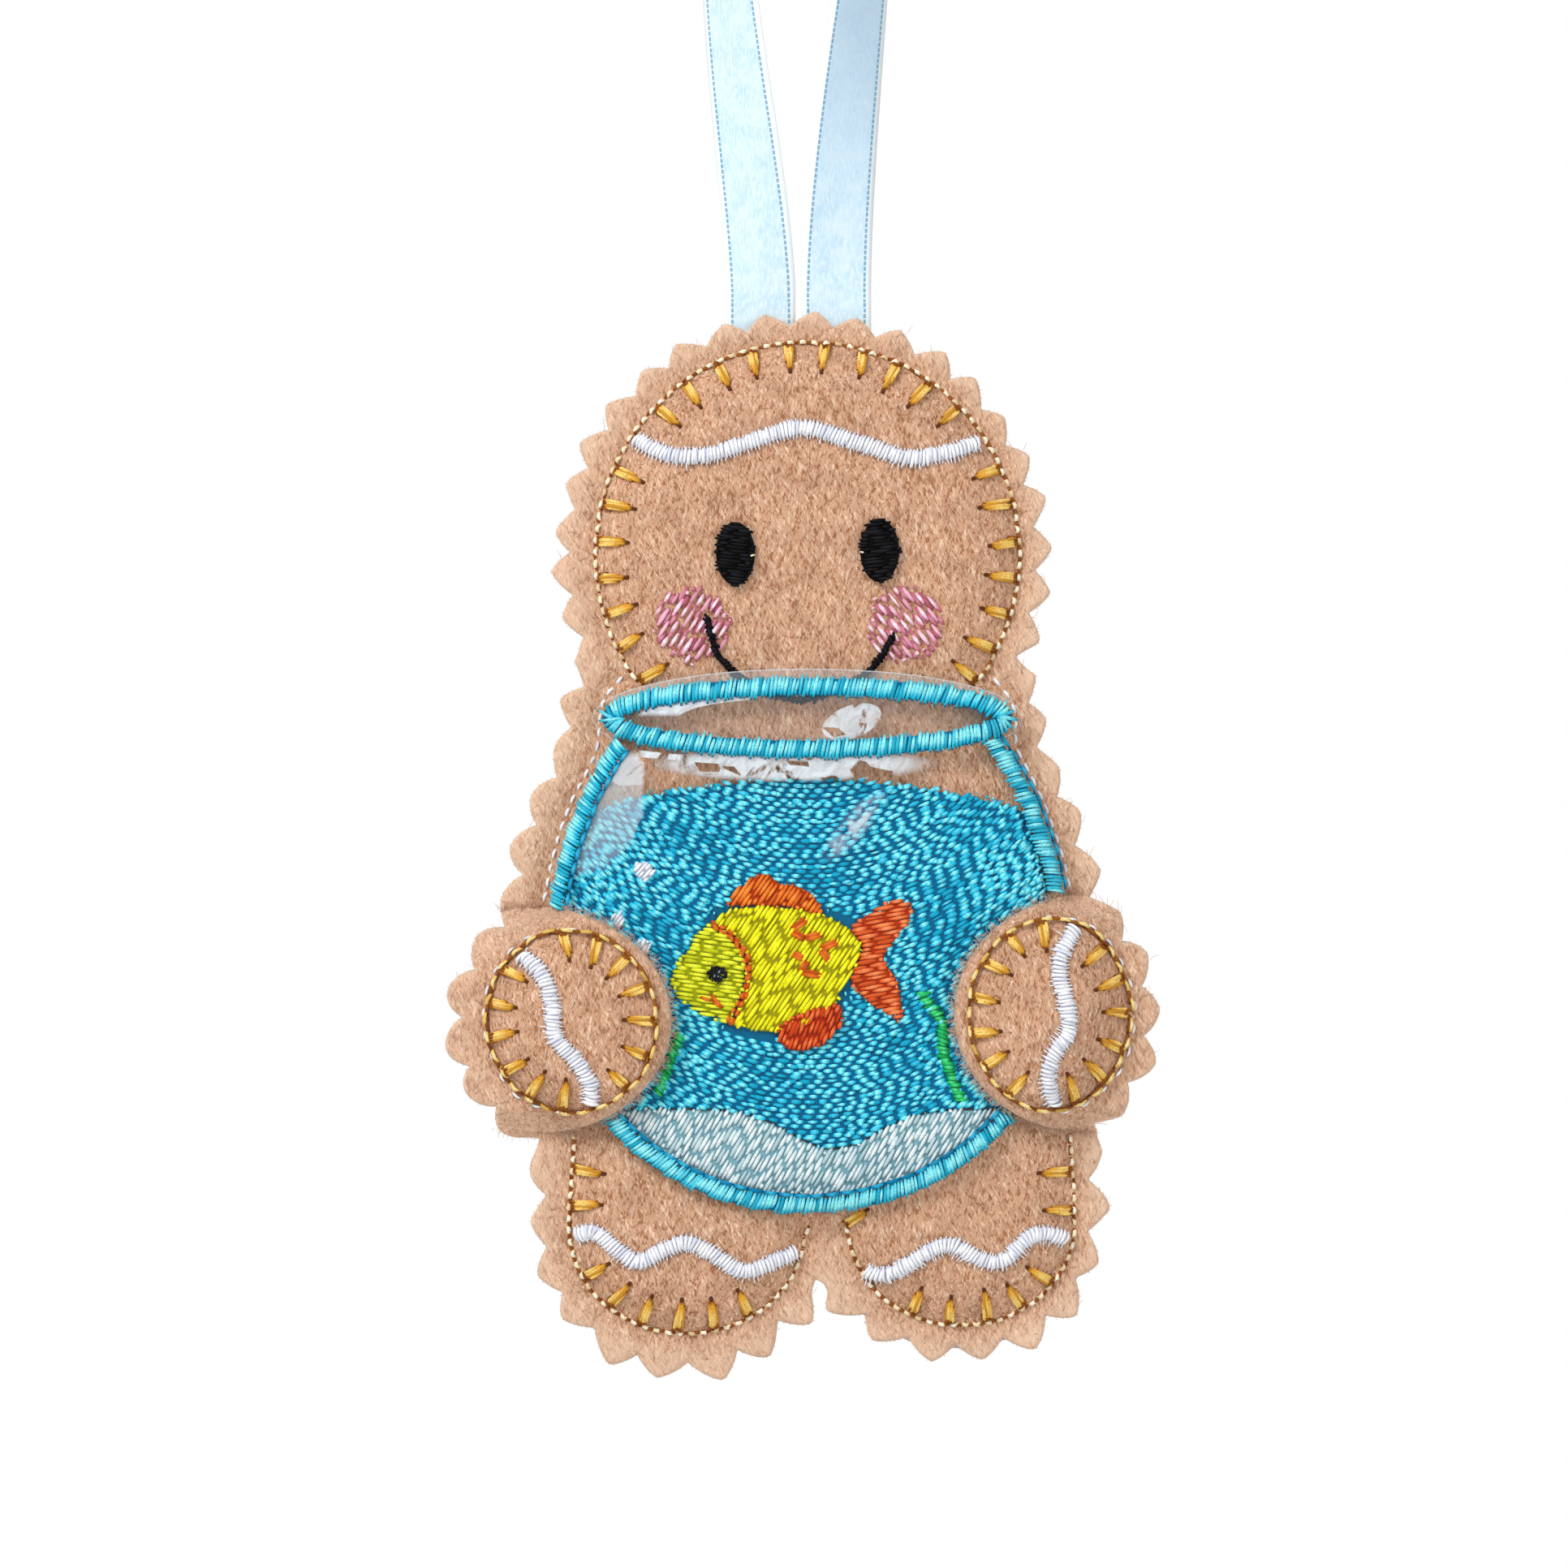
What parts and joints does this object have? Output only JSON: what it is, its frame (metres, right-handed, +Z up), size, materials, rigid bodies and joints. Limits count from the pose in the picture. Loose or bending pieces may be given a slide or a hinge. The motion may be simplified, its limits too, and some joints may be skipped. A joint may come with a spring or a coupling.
{
  "type": "felt christmas ornament",
  "caption": "Flat padded felt gingerbread figure hugging an embroidered goldfish bowl under clear vinyl, with pinked edges and a satin ribbon hanging loop.",
  "frame": {"origin": "inside top of the ribbon loop, where a hook or a twig carries it", "axes": "+Z up, +X to the viewer's right, the embroidered front faces -Y"},
  "size_m": [0.0715, 0.0115, 0.1881],
  "materials": {
    "felt": "wool felt with a pinked edge",
    "wadding": "polyester wadding and stabiliser",
    "vinyl": "clear flexible vinyl film",
    "ribbon": "pale blue satin ribbon with a white selvage",
    "turquoise_thread": "turquoise satin stitch",
    "water_thread": "blue fill stitch",
    "sand_thread": "pale grey blue fill stitch",
    "white_thread": "white embroidery thread",
    "gold_thread": "gold embroidery thread",
    "black_thread": "black embroidery thread",
    "pink_thread": "pink embroidery thread",
    "yellow_thread": "bright yellow embroidery thread",
    "lime_thread": "lime yellow embroidery thread",
    "orange_thread": "orange embroidery thread",
    "green_thread": "green embroidery thread"
  },
  "bodies": {
    "hanger": {"ribbon_loop": "ribbon"},
    "ornament": {"front_felt": "felt", "back_felt": "felt", "stabiliser": "wadding", "wadding": "wadding", "water": "water_thread", "sand": "sand_thread", "fish_head": "lime_thread", "fish_body": "yellow_thread", "dorsal_fin": "orange_thread", "tail_fin": "orange_thread", "belly_fin": "orange_thread", "fish_gill": "orange_thread", "fish_scales": "orange_thread", "fish_eye": "black_thread", "bubble_1": "white_thread", "bubble_2": "white_thread", "bubble_3": "white_thread", "seaweed_left": "green_thread", "seaweed_right": "green_thread", "vinyl_window": "vinyl", "bowl_rim": "turquoise_thread", "bowl_base": "turquoise_thread", "bowl_side_right": "turquoise_thread", "bowl_side_left": "turquoise_thread", "eye_left": "black_thread", "eye_right": "black_thread", "cheek_left": "pink_thread", "cheek_right": "pink_thread", "smile": "black_thread", "forehead_icing": "white_thread", "left_foot_icing": "white_thread", "right_foot_icing": "white_thread", "left_hand_felt": "felt", "left_hand_seam": "gold_thread", "left_hand_icing": "white_thread", "right_hand_felt": "felt", "right_hand_seam": "gold_thread", "right_hand_icing": "white_thread", "head_seam": "gold_thread", "left_side_seam": "white_thread", "right_side_seam": "white_thread", "left_leg_seam": "gold_thread", "right_leg_seam": "gold_thread", "back_seam": "white_thread", "ribbon_tail_left": "ribbon", "ribbon_tail_right": "ribbon"}
  },
  "joints": [
    {"name": "ribbon_swing", "type": "hinge", "parent": "hanger", "child": "ornament", "pos_m": [0, 0, -0.08035], "axis": [1, 0, 0], "range_deg": [-90, 90]}
  ]
}
